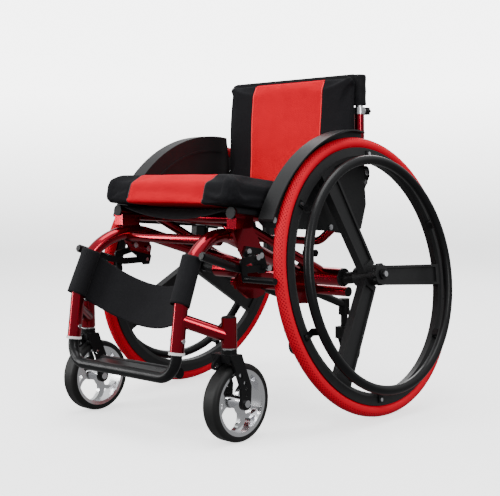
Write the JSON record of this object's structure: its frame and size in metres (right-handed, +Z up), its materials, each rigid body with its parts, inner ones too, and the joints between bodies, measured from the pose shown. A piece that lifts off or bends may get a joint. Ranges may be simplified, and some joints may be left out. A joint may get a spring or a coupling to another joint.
{
  "type": "manual wheelchair",
  "caption": "Rigid-frame manual wheelchair with cambered quick-release wheels, swivel casters, fold-down height-adjustable back, wheel brakes, footrest and anti-tippers.",
  "frame": {"origin": "middle of the bounding box on the floor", "axes": "+X to the sitter's left, -Y forwards, +Z up"},
  "size_m": [0.6884, 0.7723, 0.724],
  "materials": {
    "candy_red": "deep candy red gloss paint",
    "black_plastic": "satin black moulded plastic",
    "white_plastic": "white moulded plastic",
    "bright_steel": "bright plated steel",
    "black_sheet": "black moulded guard, fine grain",
    "black_metal": "satin black powder coat",
    "black_composite": "matt black fibre-filled nylon",
    "red_tyre": "bright red rubber",
    "black_tyre": "black rubber",
    "polished_aluminium": "polished",
    "nylon_fabric": "black woven nylon",
    "cushion_fabric": "black knit with a bright red mesh panel"
  },
  "bodies": {
    "chair_frame": {"side_frame_left": "candy_red", "side_frame_right": "candy_red", "axle_beam": "candy_red", "cross_tubes": "candy_red", "seat_rails": "candy_red", "seat_struts": "candy_red", "rear_hoop": "candy_red", "hoop_posts": "black_plastic", "post_knobs": "black_plastic", "end_plugs": "black_plastic", "leg_collars": "white_plastic", "frame_bolts": "bright_steel", "camber_plugs": "black_plastic", "quick_release_axles": "black_metal", "side_guard_left": "black_sheet", "side_guard_right": "black_sheet", "hinge_brackets": "black_metal", "seat_sling": "nylon_fabric", "seat_cushion": "cushion_fabric", "calf_strap": "nylon_fabric", "caster_bearings": "bright_steel", "brake_brackets": "black_metal", "anti_tip_arms": "black_metal"},
    "rear_wheel_left": {"rear_wheel_left": "black_composite", "rear_tyre_left": "red_tyre", "hand_rim_left": "black_metal", "rim_screws_left": "bright_steel", "hub_bearings_left": "bright_steel"},
    "axle_button_left": {"axle_button_left": "bright_steel"},
    "caster_swivel_left": {"caster_fork_left": "black_metal", "caster_hardware_left": "bright_steel"},
    "caster_wheel_left": {"caster_rim_left": "polished_aluminium", "caster_tyre_left": "black_tyre"},
    "brake_lever_left": {"brake_lever_left": "black_metal"},
    "brake_shoe_left": {"brake_shoe_left": "black_metal"},
    "thumbscrew_left": {"thumbscrew_left": "black_plastic"},
    "anti_tip_leg_left": {"anti_tip_leg_left": "black_metal"},
    "anti_tip_wheel_left": {"anti_tip_wheel_left": "black_tyre"},
    "rear_wheel_right": {"rear_wheel_right": "black_composite", "rear_tyre_right": "red_tyre", "hand_rim_right": "black_metal", "rim_screws_right": "bright_steel", "hub_bearings_right": "bright_steel"},
    "axle_button_right": {"axle_button_right": "bright_steel"},
    "caster_swivel_right": {"caster_fork_right": "black_metal", "caster_hardware_right": "bright_steel"},
    "caster_wheel_right": {"caster_rim_right": "polished_aluminium", "caster_tyre_right": "black_tyre"},
    "brake_lever_right": {"brake_lever_right": "black_metal"},
    "brake_shoe_right": {"brake_shoe_right": "black_metal"},
    "thumbscrew_right": {"thumbscrew_right": "black_plastic"},
    "anti_tip_leg_right": {"anti_tip_leg_right": "black_metal"},
    "anti_tip_wheel_right": {"anti_tip_wheel_right": "black_tyre"},
    "backrest": {"back_posts": "candy_red", "clamp_rings": "bright_steel"},
    "back_height": {"back_inner_posts": "bright_steel", "back_sling": "nylon_fabric", "back_pad": "cushion_fabric"},
    "footrest": {"footrest": "black_metal", "footrest_plate": "black_metal"}
  },
  "joints": [
    {"name": "rear_wheel_spin_left", "type": "hinge", "parent": "chair_frame", "child": "rear_wheel_left", "pos_m": [0.262, 0.0912, 0.2919], "axis": [0.989, 0, 0.1478], "continuous": true},
    {"name": "axle_button_press_left", "type": "slide", "parent": "chair_frame", "child": "axle_button_left", "axis": [0.989, 0, 0.1478], "range_m": [-0.003, 0], "stiffness_N_per_m": 400, "springref_m": 0.001},
    {"name": "caster_swivel_left", "type": "hinge", "parent": "chair_frame", "child": "caster_swivel_left", "pos_m": [0.213, -0.2858, 0.21], "axis": [0, 0, 1], "continuous": true},
    {"name": "caster_spin_left", "type": "hinge", "parent": "caster_swivel_left", "child": "caster_wheel_left", "pos_m": [0.213, -0.2688, 0.076], "axis": [1, 0, 0], "continuous": true},
    {"name": "brake_lever_turn_left", "type": "hinge", "parent": "chair_frame", "child": "brake_lever_left", "pos_m": [0.18, -0.1488, 0.322], "axis": [1, 0, 0], "range_deg": [0, 30]},
    {"name": "brake_shoe_turn_left", "type": "hinge", "parent": "chair_frame", "child": "brake_shoe_left", "pos_m": [0.189, -0.1808, 0.346], "axis": [1, 0, 0], "range_deg": [0, 4.5]},
    {"name": "rear_wheel_spin_right", "type": "hinge", "parent": "chair_frame", "child": "rear_wheel_right", "pos_m": [-0.262, 0.0912, 0.2919], "axis": [0.989, 0, -0.1478], "continuous": true},
    {"name": "axle_button_press_right", "type": "slide", "parent": "chair_frame", "child": "axle_button_right", "axis": [-0.989, 0, 0.1478], "range_m": [-0.003, 0], "stiffness_N_per_m": 400, "springref_m": 0.001},
    {"name": "caster_swivel_right", "type": "hinge", "parent": "chair_frame", "child": "caster_swivel_right", "pos_m": [-0.213, -0.2858, 0.21], "axis": [0, 0, 1], "continuous": true},
    {"name": "caster_spin_right", "type": "hinge", "parent": "caster_swivel_right", "child": "caster_wheel_right", "pos_m": [-0.213, -0.2688, 0.076], "axis": [1, 0, 0], "continuous": true},
    {"name": "brake_lever_turn_right", "type": "hinge", "parent": "chair_frame", "child": "brake_lever_right", "pos_m": [-0.18, -0.1488, 0.322], "axis": [1, 0, 0], "range_deg": [0, 30]},
    {"name": "brake_shoe_turn_right", "type": "hinge", "parent": "chair_frame", "child": "brake_shoe_right", "pos_m": [-0.189, -0.1808, 0.346], "axis": [1, 0, 0], "range_deg": [0, 4.5]},
    {"name": "back_fold", "type": "hinge", "parent": "chair_frame", "child": "backrest", "pos_m": [0, 0.1662, 0.51], "axis": [1, 0, 0], "range_deg": [0, 85]},
    {"name": "back_height_slide", "type": "slide", "parent": "backrest", "child": "back_height", "axis": [0, 0, 1], "range_m": [0, 0.04]},
    {"name": "thumbscrew_turn_left", "type": "hinge", "parent": "backrest", "child": "thumbscrew_left", "pos_m": [0.18, 0.1862, 0.6445], "axis": [0, 1, 0], "continuous": true},
    {"name": "thumbscrew_turn_right", "type": "hinge", "parent": "backrest", "child": "thumbscrew_right", "pos_m": [-0.18, 0.1862, 0.6445], "axis": [0, 1, 0], "continuous": true},
    {"name": "footrest_slide", "type": "slide", "parent": "chair_frame", "child": "footrest", "axis": [0, 0.1441, 0.9896], "range_m": [-0.02, 0]},
    {"name": "anti_tip_slide_left", "type": "slide", "parent": "chair_frame", "child": "anti_tip_leg_left", "axis": [0, 0, 1], "range_m": [-0.018, 0.005]},
    {"name": "anti_tip_spin_left", "type": "hinge", "parent": "anti_tip_leg_left", "child": "anti_tip_wheel_left", "pos_m": [0.08, 0.2592, 0.088], "axis": [1, 0, 0], "continuous": true},
    {"name": "anti_tip_slide_right", "type": "slide", "parent": "chair_frame", "child": "anti_tip_leg_right", "axis": [0, 0, 1], "range_m": [-0.018, 0.005]},
    {"name": "anti_tip_spin_right", "type": "hinge", "parent": "anti_tip_leg_right", "child": "anti_tip_wheel_right", "pos_m": [-0.08, 0.2592, 0.088], "axis": [1, 0, 0], "continuous": true}
  ],
  "couplings": [
    {"joint": "brake_shoe_turn_left", "follows": "brake_lever_turn_left", "ratio": 0.15},
    {"joint": "brake_shoe_turn_right", "follows": "brake_lever_turn_right", "ratio": 0.15}
  ]
}
